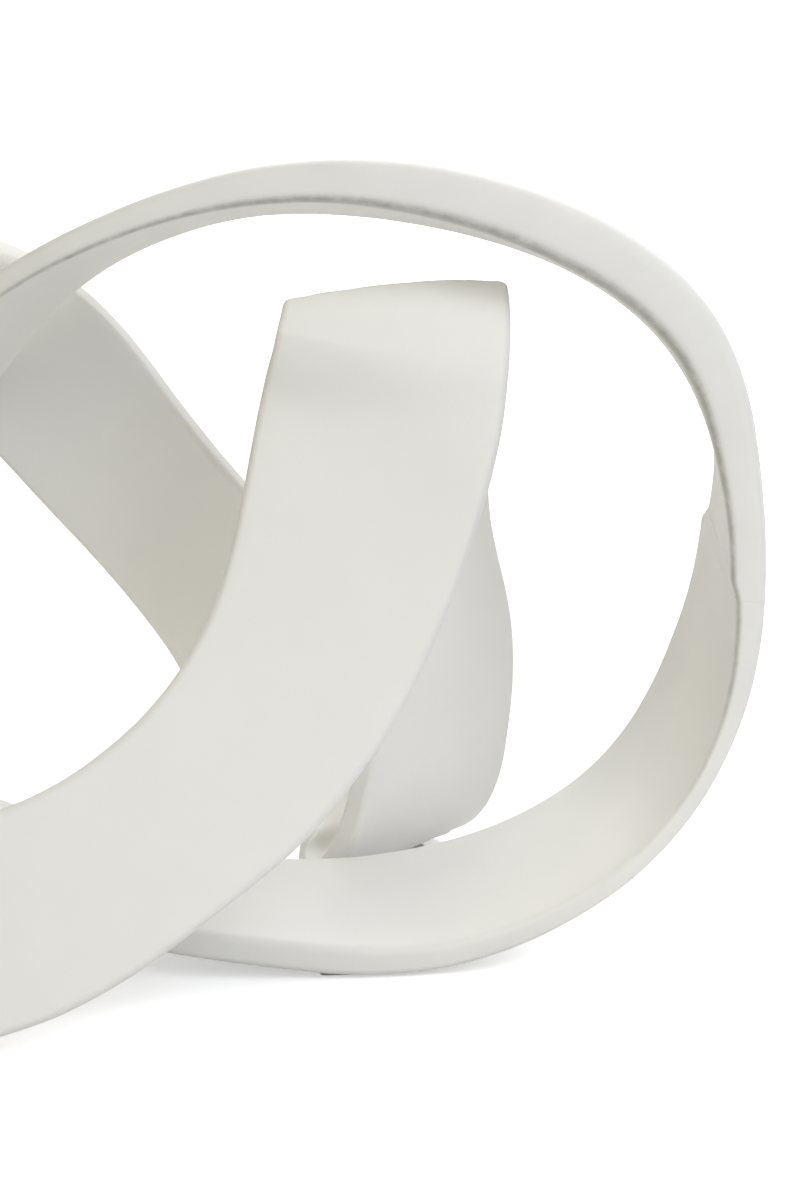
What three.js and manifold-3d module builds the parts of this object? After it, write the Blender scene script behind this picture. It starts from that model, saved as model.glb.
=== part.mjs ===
// Knot sculpture: one endless flat band, tied as a trefoil and closed with a half twist.
// The band is cast in lengths that butt together over steel dowels, and it stands on felt pads.
// Millimetres, +Z up. Seen from the front, X runs right and Y runs away from the viewer.
// Origin: the middle of the footprint, on the table.
import * as THREE from "three";
import { mergeVertices } from "three/addons/utils/BufferGeometryUtils.js";
import Module from "manifold-3d";

const wasm = await Module();
wasm.setup();

// Driving dimensions
const BAND_WIDTH = 43;
const BAND_THICKNESS = 6;
const EDGE_SHARE = 0.3;
const EDGE_STEPS = 2;
const RING_SPACING = 8.6;
const RING_TURN = THREE.MathUtils.degToRad(18);
const GLUE_LINE = 0.3;
const DOWEL_RADIUS = 1;
const DOWEL_LENGTH = 13;
const DOWEL_SIDES = 10;
const DOWEL_SPREAD = 0.27;
const DOWEL_CLEARANCE = 0.25;
const PAD_THICKNESS = 1.6;
const PAD_CLEARANCE = 0.3;
const PAD_CORNER = 1.6;
const NOTCH_BELOW = 5;
const FOOT_PAD_LENGTH = 15;
const FOOT_PAD_WIDTH = 4.4;
const RUN_PAD_LENGTH = 18;
const RUN_PAD_WIDTH = 4;
const CURL_PAD_LENGTH = 26;
const CURL_PAD_WIDTH = 6;
const EDGE_HEIGHT = 1.2;
const SEAM_SLANT = 3;
const STEP_HEIGHT = 1.3;
const STEP_FADE = 26;
const SPAN_POWER = 0.8;

// Stations along the band: its centre, the direction across it, how many times as thick and as wide
// as the plain band it is there, and how far its middle is domed.
const station = (centre, across, thicker = 1, wider = 1, dome = 0) => ({
  centre,
  across,
  thickness: thicker * BAND_THICKNESS,
  width: wider * BAND_WIDTH,
  dome,
});
// Height of the centre where the band stands on its edge, steep being the part of it that is upright.
const onEdge = (steep, raised = 0) => EDGE_HEIGHT + raised + (steep * BAND_WIDTH) / 2;
const STATIONS = [
  // back strand, falling behind everything from upper left to lower right
  station([-25.8, 41.6, 115.7], [0.69, -0.2, 0.69], 1, 0.9),
  station([-8.6, 44.6, 95.2], [0.69, -0.22, 0.67], 1, 0.88),
  station([7.8, 47.6, 74.1], [0.7, -0.12, 0.65], 1, 0.82),
  station([22.3, 51, 52.8], [0.74, 0.2, 0.53], 1, 0.82),
  station([33, 53.5, 29.5], [0.66, 0.6, 0.4], 1, 0.84),
  // tight curl on the table at the back
  station([45, 52.8, 10.5], [0.45, 0.88, 0.15], 1, 0.9),
  station([49.7, 48, 4.5], [0.56, 0.82, 0.03], 0.967),
  station([55.5, 43, 10.5], [0.66, 0.75, -0.04]),
  // riser that climbs behind the front band
  station([61.2, 41.5, 31], [0.66, 0.73, -0.17]),
  station([61.1, 37.5, 52.5], [0.64, 0.74, -0.23]),
  station([57, 31.5, 72.5], [0.66, 0.73, -0.19]),
  station([53.7, 23.5, 92], [0.74, 0.66, -0.15]),
  station([50.7, 16.5, 110.5], [0.87, 0.48, -0.06]),
  // fold over the top, tighter at its left edge than at its right
  station([50.5, 12.5, 126], [0.93, 0.35, 0.12], 1, 1, 0.6),
  station([53, 2, 132.9], [0.97, 0.2, 0.05], 1, 1.03, 1.3),
  station([52.5, -8, 126], [0.99, 0.03, 0.05], 1, 1.07, 0.8),
  // front band, sweeping down to the left in front of everything
  station([50.5, -10.5, 115.5], [0.99, -0.11, -0.03], 1.083, 1.105),
  station([46, -16.5, 97], [0.96, -0.13, -0.23], 1.083, 1.07),
  station([36.2, -28.5, 70.9], [0.91, -0.12, -0.4], 1, 0.975),
  station([22, -39.5, 52], [0.77, -0.19, -0.61], 1, 0.92),
  station([4.5, -49.3, 39.1], [0.58, -0.24, -0.77], 1, 0.89),
  station([-14.9, -57.5, 29.5], [0.43, -0.26, -0.86], 1, 0.945),
  station([-36, -62.5, onEdge(0.94, 3.6)], [0.22, -0.26, -0.94]),
  // left foot, standing on its edge, and the climb to the crown
  station([-66, -61.5, onEdge(0.99)], [0.06, -0.14, -0.99]),
  station([-96, -45.5, onEdge(0.99)], [-0.08, -0.02, -0.99]),
  station([-115.9, -14.5, onEdge(0.97, 2.9)], [-0.2, 0.12, -0.97]),
  station([-112.9, 19.5, 46], [-0.25, 0.5, -0.8]),
  station([-87, 37.5, 74], [0.1, 0.75, -0.6]),
  station([-52, 25.5, 102.5], [0.25, 0.85, -0.38]),
  station([-18.5, 4.5, 137.3], [0.11, 0.9, -0.295], 0.77),
  // crown and right loop, seen edge on
  station([15, 1.5, 154.1], [0.02, 0.94, -0.265], 1.05),
  station([44, 1.5, 157.4], [0, 0.95, -0.268], 1.48),
  station([86, 2.5, 147.7], [0.03, 0.97, -0.24], 1.93),
  station([108.8, 3.5, 130.6], [0.03, 0.96, -0.245], 1.8),
  station([119.7, 4.5, 108.5], [0.08, 0.96, -0.29], 1.4),
  station([121.9, 4.5, 89], [-0.05, 0.95, -0.29], 1.1),
  station([115.2, 5.5, 53], [-0.3, 0.91, -0.24], 0.73),
  station([97, 4.5, 24.8], [-0.26, 0.96, 0.03], 0.72),
  station([60, 1.5, 7.5], [0, 0.99, 0.16]),
  station([26, -1.3, 7.6], [0.06, 0.98, 0.04], 1.1),
  // under the front band and up to the crest at the left
  station([-5, -4.5, 14.8], [0.1, 0.98, 0]),
  station([-29.5, -11.5, 27.5], [0.09, 0.97, -0.2]),
  station([-60, -27.5, 56.5], [0, 0.96, -0.29]),
  station([-87, -23.5, 93], [-0.1, 0.85, -0.47]),
  station([-88, 2.5, 122], [-0.1, 0.8, -0.56], 1, 0.977),
  station([-62, 29.5, 132.8], [-0.2, 0.7, -0.63], 1, 0.92),
];
const TURN = STATIONS.length;

// Lengths of the band in order, each with the place along the stations where it starts.
// skew moves a joint along the band, by this much at the far edge and back at the near edge.
// At a stepped joint the length before stands proud at the near edge, and the length after at the far edge.
const LENGTHS = [
  { name: "foot_curl", start: 4.2 },
  { name: "back_riser", start: 8.5 },
  { name: "top_fold", start: 12.2 },
  { name: "front_fall", start: 16.6 },
  { name: "front_sweep", start: 19.3 },
  { name: "left_foot", start: 22.3 },
  { name: "left_turn", start: 25 },
  { name: "left_climb", start: 26.9 },
  { name: "crown", start: 29.4 },
  { name: "right_shoulder", start: 32.4 },
  { name: "right_fall", start: 35.2, skew: -SEAM_SLANT, stepped: true },
  { name: "bottom_run", start: 37.5 },
  { name: "cross_rise", start: 40.2 },
  { name: "crest_rise", start: 42.4 },
  { name: "left_crest", start: 44.2 },
  { name: "back_strand", start: 45.6 },
];

// Felt pads: under which length, where along it, how far across from its middle, and their plan.
// A pad follows the band, or lies across it.
const FOOT_PAD = { length: FOOT_PAD_LENGTH, width: FOOT_PAD_WIDTH, follows: true };
const RUN_PAD = { length: RUN_PAD_LENGTH, width: RUN_PAD_WIDTH, follows: true };
const CURL_PAD = { length: CURL_PAD_LENGTH, width: CURL_PAD_WIDTH, follows: false };
const PADS = [
  { name: "pad_front", under: "left_foot", place: 23.2, across: 0.5, ...FOOT_PAD },
  { name: "pad_left", under: "left_foot", place: 24.35, across: 0.5, ...FOOT_PAD },
  { name: "pad_right", under: "bottom_run", place: 38.45, across: -0.39, ...RUN_PAD },
  { name: "pad_back", under: "foot_curl", place: 5.9, across: 0, ...CURL_PAD },
];

// Cubic through closed rows of values, smooth to the second derivative over every station.
// sign is -1 for values that come back reversed after one turn round the knot.
function closedCubic(rows, spans, sign) {
  const count = rows.length;
  const size = rows[0].length;
  const pick = (list, i, c) => {
    const value = list[(i + count) % count][c];
    return i < 0 || i >= count ? sign * value : value;
  };
  const slopes = rows.map(() => new Array(size).fill(0));
  const settled = 1e-9;
  let moved = 1;
  while (moved > settled) {
    moved = 0;
    for (let i = 0; i < count; i += 1) {
      const before = spans[(i + count - 1) % count];
      const after = spans[i];
      for (let c = 0; c < size; c += 1) {
        const into = (pick(rows, i, c) - pick(rows, i - 1, c)) / before;
        const out = (pick(rows, i + 1, c) - pick(rows, i, c)) / after;
        const pull = after * pick(slopes, i - 1, c) + before * pick(slopes, i + 1, c);
        const slope = (3 * (after * into + before * out) - pull) / (2 * (before + after));
        moved = Math.max(moved, Math.abs(slope - slopes[i][c]));
        slopes[i][c] = slope;
      }
    }
  }
  return (place) => {
    const turns = Math.floor(place / count);
    const local = place - turns * count;
    const i = Math.min(Math.floor(local), count - 1);
    const f = local - i;
    const span = spans[i];
    const flip = turns % 2 === 0 ? 1 : sign;
    const row = [];
    for (let c = 0; c < size; c += 1) {
      const near = (2 * f ** 3 - 3 * f ** 2 + 1) * rows[i][c];
      const leave = (f ** 3 - 2 * f ** 2 + f) * span * slopes[i][c];
      const far = (3 * f ** 2 - 2 * f ** 3) * pick(rows, i + 1, c);
      const arrive = (f ** 3 - f ** 2) * span * pick(slopes, i + 1, c);
      row.push(flip * (near + leave + far + arrive));
    }
    return row;
  };
}

const centres = STATIONS.map((s) => new THREE.Vector3(...s.centre));
const spans = centres.map((p, i) => p.distanceTo(centres[(i + 1) % TURN]) ** SPAN_POWER);
const centreAt = closedCubic(STATIONS.map((s) => s.centre), spans, 1);
const acrossRows = STATIONS.map((s) => new THREE.Vector3(...s.across).normalize().toArray());
const acrossAt = closedCubic(acrossRows, spans, -1);
const sizeAt = closedCubic(STATIONS.map((s) => [s.width, s.thickness, s.dome]), spans, 1);

// The band's own axes at one place: along it, across it and square to its face.
function frameAt(place) {
  const nudge = 1e-3;
  const ahead = new THREE.Vector3(...centreAt(place + nudge));
  const behind = new THREE.Vector3(...centreAt(place - nudge));
  const along = ahead.sub(behind);
  const speed = along.length() / (2 * nudge);
  along.normalize();
  const across = new THREE.Vector3(...acrossAt(place));
  across.addScaledVector(along, -across.dot(along)).normalize();
  const square = new THREE.Vector3().crossVectors(along, across);
  const [width, thickness, dome] = sizeAt(place);
  const centre = new THREE.Vector3(...centreAt(place));
  return { centre, along, across, square, speed, width, thickness, dome };
}

// Rounded rectangle in unit terms: which corner each point belongs to and its angle there,
// with one more point in the middle of each face.
function sectionPoints() {
  const corners = [[1, 1, 0], [-1, 1, 90], [-1, -1, 180], [1, -1, 270]];
  const points = [];
  for (const [side, face, from] of corners) {
    for (let k = 0; k <= EDGE_STEPS; k += 1) {
      const angle = THREE.MathUtils.degToRad(from + (90 * k) / EDGE_STEPS);
      points.push({ side, face, bulgeX: Math.cos(angle), bulgeY: Math.sin(angle) });
    }
    if (side === face) {
      points.push({ side: 0, face, bulgeX: 0, bulgeY: face });
    }
  }
  return points;
}
const SECTION = sectionPoints();

// Places of the rings along one length, closer together where the band bends or twists.
function ringPlaces(from, to) {
  const fine = 400;
  const costs = [0];
  let last = frameAt(from);
  for (let k = 1; k <= fine; k += 1) {
    const next = frameAt(from + ((to - from) * k) / fine);
    const bend = last.along.angleTo(next.along) + last.across.angleTo(next.across);
    const run = last.centre.distanceTo(next.centre);
    costs.push(costs[k - 1] + run / RING_SPACING + bend / RING_TURN);
    last = next;
  }
  const rings = Math.ceil(costs[fine]);
  const places = [];
  let k = 0;
  for (let r = 0; r <= rings; r += 1) {
    const goal = (costs[fine] * r) / rings;
    while (k < fine && costs[k + 1] < goal) {
      k += 1;
    }
    const part = k < fine ? (goal - costs[k]) / (costs[k + 1] - costs[k]) : 0;
    places.push(from + ((to - from) * (k + part)) / fine);
  }
  places[rings] = to;
  return places;
}

// One point of the band's surface, with the joint's skew, the dome and the step on the inner face.
function surfacePoint(place, skew, point, proud) {
  const here = frameAt(place);
  const radius = EDGE_SHARE * here.thickness;
  const reach = point.side * (here.width / 2 - radius) + radius * point.bulgeX;
  const lift = point.face * (here.thickness / 2 - radius) + radius * point.bulgeY;
  const share = reach / (here.width / 2);
  const step = (proud.far * (1 + share) + proud.near * (1 - share)) / 2;
  const rise = here.dome * (1 - share ** 2) - (point.face < 0 ? step : 0);
  const spot = here.centre.clone().addScaledVector(here.along, skew * share);
  return spot.addScaledVector(here.across, reach).addScaledVector(here.square, lift + rise);
}

// Closed mesh of one length, from its rings and two end caps.
function sweepLength(item, next) {
  const startSkew = item.skew ?? 0;
  const endSkew = next.skew ?? 0;
  const stop = next.start > item.start ? next.start : next.start + TURN;
  const from = item.start + GLUE_LINE / 2 / frameAt(item.start).speed;
  const to = stop - GLUE_LINE / 2 / frameAt(stop).speed;
  const places = ringPlaces(from, to);
  const vertices = [];
  const middles = [];
  const startCentre = frameAt(from).centre;
  const endCentre = frameAt(to).centre;
  const stepAt = (distance) => STEP_HEIGHT * Math.max(0, 1 - distance / STEP_FADE) ** 2;
  places.forEach((place) => {
    const part = (place - from) / (to - from);
    const skew = startSkew * (1 - part) + endSkew * part;
    const { centre } = frameAt(place);
    const far = item.stepped ? stepAt(centre.distanceTo(startCentre)) : 0;
    const near = next.stepped ? stepAt(centre.distanceTo(endCentre)) : 0;
    const ring = SECTION.map((point) => surfacePoint(place, skew, point, { far, near }));
    ring.forEach((spot) => vertices.push(...spot.toArray()));
    const sum = ring.reduce((total, spot) => total.add(spot), new THREE.Vector3());
    middles.push(sum.divideScalar(SECTION.length));
  });
  const sides = SECTION.length;
  const triangles = [];
  for (let r = 0; r + 1 < places.length; r += 1) {
    for (let s = 0; s < sides; s += 1) {
      const a = r * sides + s;
      const b = r * sides + ((s + 1) % sides);
      triangles.push(a, b, b + sides, a, b + sides, a + sides);
    }
  }
  const first = vertices.length / 3;
  vertices.push(...middles[0].toArray(), ...middles[middles.length - 1].toArray());
  const tail = (places.length - 1) * sides;
  for (let s = 0; s < sides; s += 1) {
    const t = (s + 1) % sides;
    triangles.push(first, t, s, first + 1, tail + s, tail + t);
  }
  const geometry = new THREE.BufferGeometry();
  geometry.setAttribute("position", new THREE.Float32BufferAttribute(vertices, 3));
  geometry.setIndex(triangles);
  return geometry;
}

// Solid for cutting, with its faces turned outwards.
function toSolid(geometry) {
  const bare = geometry.clone();
  bare.deleteAttribute("normal");
  bare.deleteAttribute("uv");
  const merged = mergeVertices(bare, 1e-5);
  const vertProperties = new Float32Array(merged.getAttribute("position").array);
  const triVerts = new Uint32Array(merged.getIndex().array);
  const corner = (k) => new THREE.Vector3().fromArray(vertProperties, 3 * triVerts[k]);
  let volume = 0;
  for (let k = 0; k < triVerts.length; k += 3) {
    volume += corner(k).dot(corner(k + 1).cross(corner(k + 2)));
  }
  if (volume < 0) {
    for (let k = 0; k < triVerts.length; k += 3) {
      [triVerts[k], triVerts[k + 1]] = [triVerts[k + 1], triVerts[k]];
    }
  }
  return new wasm.Manifold(new wasm.Mesh({ numProp: 3, vertProperties, triVerts }));
}

function toGeometry(solid) {
  const mesh = solid.getMesh();
  const geometry = new THREE.BufferGeometry();
  geometry.setAttribute("position", new THREE.Float32BufferAttribute(mesh.vertProperties, 3));
  geometry.setIndex([...mesh.triVerts]);
  geometry.computeVertexNormals();
  return geometry;
}

// Cylinder with its middle on a joint and its axis along the band there.
function pinGeometry(joint, side, radius, length) {
  const here = frameAt(joint.start);
  const reach = side * DOWEL_SPREAD * here.width;
  const shift = ((joint.skew ?? 0) * reach) / (here.width / 2);
  const geometry = new THREE.CylinderGeometry(radius, radius, length, DOWEL_SIDES);
  const basis = new THREE.Matrix4().makeBasis(here.across, here.along, here.square.clone().negate());
  geometry.applyMatrix4(basis);
  const spot = here.centre.clone().addScaledVector(here.across, reach).addScaledVector(here.along, shift);
  return geometry.translate(spot.x, spot.y, spot.z);
}

// Flat pad with rounded corners, or with a clearance the notch that it sits in.
function padGeometry(pad, grow, bottom, top) {
  const here = frameAt(pad.place);
  const spot = here.centre.clone().addScaledVector(here.across, pad.across * here.width);
  const heading = pad.follows ? here.along : here.across;
  const long = pad.length / 2 + grow;
  const wide = pad.width / 2 + grow;
  const round = PAD_CORNER + grow;
  const outline = new THREE.Shape();
  outline.moveTo(-long + round, -wide);
  outline.lineTo(long - round, -wide);
  outline.absarc(long - round, -wide + round, round, -Math.PI / 2, 0);
  outline.lineTo(long, wide - round);
  outline.absarc(long - round, wide - round, round, 0, Math.PI / 2);
  outline.lineTo(-long + round, wide);
  outline.absarc(-long + round, wide - round, round, Math.PI / 2, Math.PI);
  outline.lineTo(-long, -wide + round);
  outline.absarc(-long + round, -wide + round, round, Math.PI, Math.PI * 1.5);
  const options = { depth: top - bottom, bevelEnabled: false, curveSegments: 3 };
  const geometry = new THREE.ExtrudeGeometry(outline, options);
  geometry.rotateZ(Math.atan2(heading.y, heading.x));
  return geometry.translate(spot.x, spot.y, bottom);
}

const resin = () => new THREE.MeshStandardMaterial({ color: 0xe4e3de, roughness: 0.62, metalness: 0 });
const steel = () => new THREE.MeshStandardMaterial({ color: 0xb4b6b8, roughness: 0.35, metalness: 1 });
const felt = () => new THREE.MeshStandardMaterial({ color: 0xd2d0c8, roughness: 0.95, metalness: 0 });

const sculpture = new THREE.Group();
function place(name, geometry, material) {
  const mesh = new THREE.Mesh(geometry, material);
  mesh.name = name;
  sculpture.add(mesh);
}

const SIDES = [["near", -1], ["far", 1]];
LENGTHS.forEach((item, i) => {
  const next = LENGTHS[(i + 1) % LENGTHS.length];
  let solid = toSolid(sweepLength(item, next));
  for (const joint of [item, next]) {
    for (const [, side] of SIDES) {
      const bore = DOWEL_LENGTH + 2 * DOWEL_CLEARANCE;
      solid = solid.subtract(toSolid(pinGeometry(joint, side, DOWEL_RADIUS + DOWEL_CLEARANCE, bore)));
    }
  }
  for (const pad of PADS.filter((p) => p.under === item.name)) {
    const ceiling = PAD_THICKNESS + PAD_CLEARANCE;
    solid = solid.subtract(toSolid(padGeometry(pad, PAD_CLEARANCE, -NOTCH_BELOW, ceiling)));
  }
  place(`band_${item.name}`, toGeometry(solid), resin());
  for (const [label, side] of SIDES) {
    const pin = toSolid(pinGeometry(item, side, DOWEL_RADIUS, DOWEL_LENGTH));
    place(`dowel_${item.name}_${label}`, toGeometry(pin), steel());
  }
});
for (const pad of PADS) {
  place(pad.name, toGeometry(toSolid(padGeometry(pad, 0, 0, PAD_THICKNESS))), felt());
}

export default sculpture;
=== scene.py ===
"""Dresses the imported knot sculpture: an endless matt white band, its steel dowels and its felt pads.

The band follows the sculpture's own line again, far finer than the solids do, and each of its lengths stands
for the solid of the same name. Everything is in metres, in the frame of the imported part: the side that the
camera sees faces -Y, and +X is to its right.
"""

import logging
import math
from collections.abc import Mapping, Sequence
from dataclasses import dataclass
from enum import Enum

import bmesh
import bpy
import numpy as np
from mathutils import Matrix, Vector


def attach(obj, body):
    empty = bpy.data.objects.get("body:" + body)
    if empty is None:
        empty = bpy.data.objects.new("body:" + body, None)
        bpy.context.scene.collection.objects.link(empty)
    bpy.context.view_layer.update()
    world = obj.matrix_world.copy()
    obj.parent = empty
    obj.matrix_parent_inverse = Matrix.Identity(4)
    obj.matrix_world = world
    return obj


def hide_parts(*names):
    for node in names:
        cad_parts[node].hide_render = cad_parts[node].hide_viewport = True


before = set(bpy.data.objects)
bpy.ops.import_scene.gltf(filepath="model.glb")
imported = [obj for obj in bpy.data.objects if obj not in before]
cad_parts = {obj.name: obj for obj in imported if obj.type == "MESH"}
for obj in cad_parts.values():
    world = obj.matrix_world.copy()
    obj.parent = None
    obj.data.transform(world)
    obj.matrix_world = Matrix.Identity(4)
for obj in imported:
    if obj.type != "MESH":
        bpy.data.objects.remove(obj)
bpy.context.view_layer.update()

BODY = "root"
MM = 0.001
LOG = logging.getLogger("knot_sculpture")

Colour = tuple[float, float, float, float]
Triple = tuple[float, float, float]
Pair = tuple[float, float]
Outputs = bpy.types.bpy_prop_collection

WHITE: Colour = (1.0, 1.0, 1.0, 1.0)
# Corners of a rounded rectangle: the signs of its two sides there, and the angle where the round starts
CORNERS = ((1, 1, 0), (-1, 1, 90), (-1, -1, 180), (1, -1, 270))
# Values on the band's points that its material reads: the rims for handled wear, and the inner corner of the
# near edge with the share of painted shade along the band
BAND_MARKS = ("rim", "inner_edge", "dusty")
# Values that Blender itself keeps on a mesh
MESH_MARKS = ("sharp_edge", "sharp_face", "material_index")


class Slot(Enum):
    """Material slots of the record."""

    BAND = "band"
    DOWEL = "dowel"
    PAD = "pad"


class Edge(Enum):
    """The two edges of the band, as signs of the direction across it."""

    NEAR = -1
    FAR = 1


class Term:
    """Something that nodes work out, for sums and for the inputs of further nodes."""

    def __init__(self, desk: "NodeDesk", socket: bpy.types.NodeSocket) -> None:
        """Takes the tree's desk and the socket that gives the result."""
        self.desk, self.socket = desk, socket


class Number(Term):
    """A number that nodes work out."""

    def __add__(self, other: "Number | float") -> "Number":
        """Returns the sum."""
        return self.desk.math("ADD", self, other)

    def __sub__(self, other: "Number | float") -> "Number":
        """Returns the difference."""
        return self.desk.math("SUBTRACT", self, other)

    def __rsub__(self, other: float) -> "Number":
        """Returns the difference from a plain number."""
        return self.desk.math("SUBTRACT", other, self)

    def __mul__(self, other: "Number | float") -> "Number":
        """Returns the product."""
        return self.desk.math("MULTIPLY", self, other)

    def __truediv__(self, other: "Number | float") -> "Number":
        """Returns the quotient."""
        return self.desk.math("DIVIDE", self, other)

    def __rtruediv__(self, other: float) -> "Number":
        """Returns a plain number divided by this one."""
        return self.desk.math("DIVIDE", other, self)


class Arrow(Term):
    """A vector that nodes work out."""

    def __add__(self, other: "Arrow") -> "Arrow":
        """Returns the sum."""
        return Arrow(self.desk, self.desk.get("ShaderNodeVectorMath", {0: self, 1: other}, operation="ADD"))

    def __mul__(self, factor: Number) -> "Arrow":
        """Returns the vector times a number."""
        sockets = {0: self, "Scale": factor}
        return Arrow(self.desk, self.desk.get("ShaderNodeVectorMath", sockets, operation="SCALE"))


class NodeDesk:
    """Adds nodes to one tree and links them."""

    # Colour sockets of the Mix node, by number, because its sockets for plain numbers have the same names
    MIX_FIRST, MIX_SECOND, MIX_RESULT = 6, 7, 2

    def __init__(self, tree: bpy.types.NodeTree) -> None:
        """Takes the tree that the nodes go into."""
        self.tree = tree

    def add(self, kind: str, sockets: Mapping | None = None, **settings: object) -> bpy.types.Node:
        """Adds one node.

        Args:
            kind: Blender's name of the node type.
            sockets: Values or links for its inputs, by name or by number.
            settings: The node's own properties.

        Returns:
            The new node.
        """
        node = self.tree.nodes.new(kind)
        for name, value in settings.items():
            setattr(node, name, value)
        for key, value in (sockets or {}).items():
            source = value.socket if isinstance(value, Term) else value
            if isinstance(source, bpy.types.NodeSocket):
                self.tree.links.new(source, node.inputs[key])
            else:
                node.inputs[key].default_value = source
        return node

    def get(
        self, kind: str, sockets: Mapping | None = None, output: int | str = 0, **settings: object
    ) -> bpy.types.NodeSocket:
        """Adds one node and returns one of its outputs, given by name or by number."""
        return self.add(kind, sockets, **settings).outputs[output]

    def math(self, operation: str, *terms: object) -> Number:
        """Returns the result of a sum on numbers."""
        return Number(self, self.get("ShaderNodeMath", dict(enumerate(terms)), operation=operation))

    def ramp(self, factor: object, low: float, high: float, start: float = 0.0, stop: float = 1.0) -> Number:
        """Returns a number that runs from low to high while the factor runs from start to stop."""
        sockets = {"Value": factor, "From Min": start, "From Max": stop, "To Min": low, "To Max": high}
        return Number(self, self.get("ShaderNodeMapRange", sockets))

    def number(self, name: str) -> Number:
        """Returns a number that the points of a Geometry Nodes tree carry."""
        return Number(self, self.get("GeometryNodeInputNamedAttribute", {"Name": name}, data_type="FLOAT"))

    def arrow(self, name: str) -> Arrow:
        """Returns a vector that the points of a Geometry Nodes tree carry."""
        sockets = {"Name": name}
        return Arrow(self, self.get("GeometryNodeInputNamedAttribute", sockets, data_type="FLOAT_VECTOR"))

    def mark(self, name: str) -> Number:
        """Returns a number that the points of a piece carry, for its material."""
        return Number(self, self.get("ShaderNodeAttribute", output="Fac", attribute_name=name))

    def blend(self, factor: object, first: object, second: object) -> bpy.types.NodeSocket:
        """Returns a colour that runs from the first to the second."""
        sockets = {"Factor": factor, self.MIX_FIRST: first, self.MIX_SECOND: second}
        return self.get("ShaderNodeMix", sockets, self.MIX_RESULT, data_type="RGBA")

    def bump(self, height: object, depth: float, strength: float) -> bpy.types.NodeSocket:
        """Returns the normal of a surface with a fine relief."""
        return self.get("ShaderNodeBump", {"Height": height, "Distance": depth, "Strength": strength})

    def surface(self, sockets: Mapping) -> None:
        """Ends a material in one surface shader."""
        shader = self.get("ShaderNodeBsdfPrincipled", sockets)
        self.add("ShaderNodeOutputMaterial", {"Surface": shader})

    def dress(self, shape: bpy.types.NodeSocket, finish: bpy.types.NodeSocket) -> None:
        """Ends a Geometry Nodes tree in plain geometry with its material.

        Args:
            shape: The geometry, which may hold instances.
            finish: The material.
        """
        solid = self.get("GeometryNodeRealizeInstances", {"Geometry": shape})
        dressed = self.get("GeometryNodeSetMaterial", {"Geometry": solid, "Material": finish})
        self.add("NodeGroupOutput", {"Geometry": dressed})


def new_group(name: str, kind: str, given: Mapping[str, str], made: Mapping[str, str]) -> NodeDesk:
    """Starts a node group with named sockets.

    Args:
        name: Name of the group.
        kind: Blender's name of the tree type.
        given: Kinds of its inputs by name, such as Float or Material.
        made: Kinds of its outputs by name.

    Returns:
        The group's desk.
    """
    tree = bpy.data.node_groups.new(name, kind)
    for in_out, sockets in (("INPUT", given), ("OUTPUT", made)):
        for label, socket in sockets.items():
            tree.interface.new_socket(label, in_out=in_out, socket_type=f"NodeSocket{socket}")
    return NodeDesk(tree)


def cleared(owner: bpy.types.Material | bpy.types.World) -> NodeDesk:
    """Empties the node tree of a material or a world.

    Args:
        owner: The material or the world.

    Returns:
        The desk of its tree.
    """
    owner.use_nodes = True
    owner.node_tree.nodes.clear()
    return NodeDesk(owner.node_tree)


def steps_of(rows: np.ndarray) -> np.ndarray:
    """Returns the length of the step from each row to the next."""
    return np.linalg.norm(np.diff(rows, axis=0), axis=1)


def running(steps: np.ndarray) -> np.ndarray:
    """Returns the running sum of steps, from 0 on."""
    return np.concatenate([[0.0], np.cumsum(steps)])


def quarter(first: float, steps: int) -> list[float]:
    """Returns the angles of a quarter round that starts at an angle given in degrees."""
    return [math.radians(first + 90 * k / steps) for k in range(steps + 1)]


class ClosedCubic:
    """Smooth curve through closed rows of values, with its second derivative unbroken at every station."""

    def __init__(self, rows: np.ndarray, spans: np.ndarray, sign: float) -> None:
        """Works out the slopes at the stations.

        Args:
            rows: The values at the stations, one row for each.
            spans: The parameter length from each station to the next.
            sign: -1 for values that come back reversed after one turn, and otherwise 1.
        """
        self.rows, self.spans, self.sign = rows, spans, sign
        count = len(rows)
        before, after = np.roll(spans, 1), spans
        system = np.zeros((count, count))
        for i in range(count):
            system[i, i] = 2 * (before[i] + after[i])
            system[i, (i - 1) % count] = after[i] * (sign if i == 0 else 1)
            system[i, (i + 1) % count] = before[i] * (sign if i == count - 1 else 1)
        out = (self.following(rows) - rows) / after[:, None]
        into = np.roll(out, 1, axis=0)
        into[0] *= sign
        right = 3 * (after[:, None] * into + before[:, None] * out)
        self.slopes = np.linalg.solve(system, right)

    def following(self, rows: np.ndarray) -> np.ndarray:
        """Moves rows on by one station.

        Args:
            rows: One row for each station.

        Returns:
            The rows of the next stations, reversed past the end where the sign is -1.
        """
        moved = np.roll(rows, -1, axis=0)
        moved[-1] *= self.sign
        return moved

    def at(self, places: np.ndarray) -> np.ndarray:
        """Gives the values at places along the stations.

        Args:
            places: Station numbers with fractions, also past the last station.

        Returns:
            One row of values for each place.
        """
        count = len(self.rows)
        turns = np.floor(places / count)
        local = places - turns * count
        index = np.minimum(local.astype(int), count - 1)
        part = (local - index)[:, None]
        span = self.spans[index][:, None]
        flip = np.where(turns % 2 == 0, 1.0, self.sign)[:, None]
        near = (2 * part**3 - 3 * part**2 + 1) * self.rows[index]
        leave = (part**3 - 2 * part**2 + part) * span * self.slopes[index]
        far = (3 * part**2 - 2 * part**3) * self.following(self.rows)[index]
        arrive = (part**3 - part**2) * span * self.following(self.slopes)[index]
        return flip * (near + leave + far + arrive)


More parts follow.
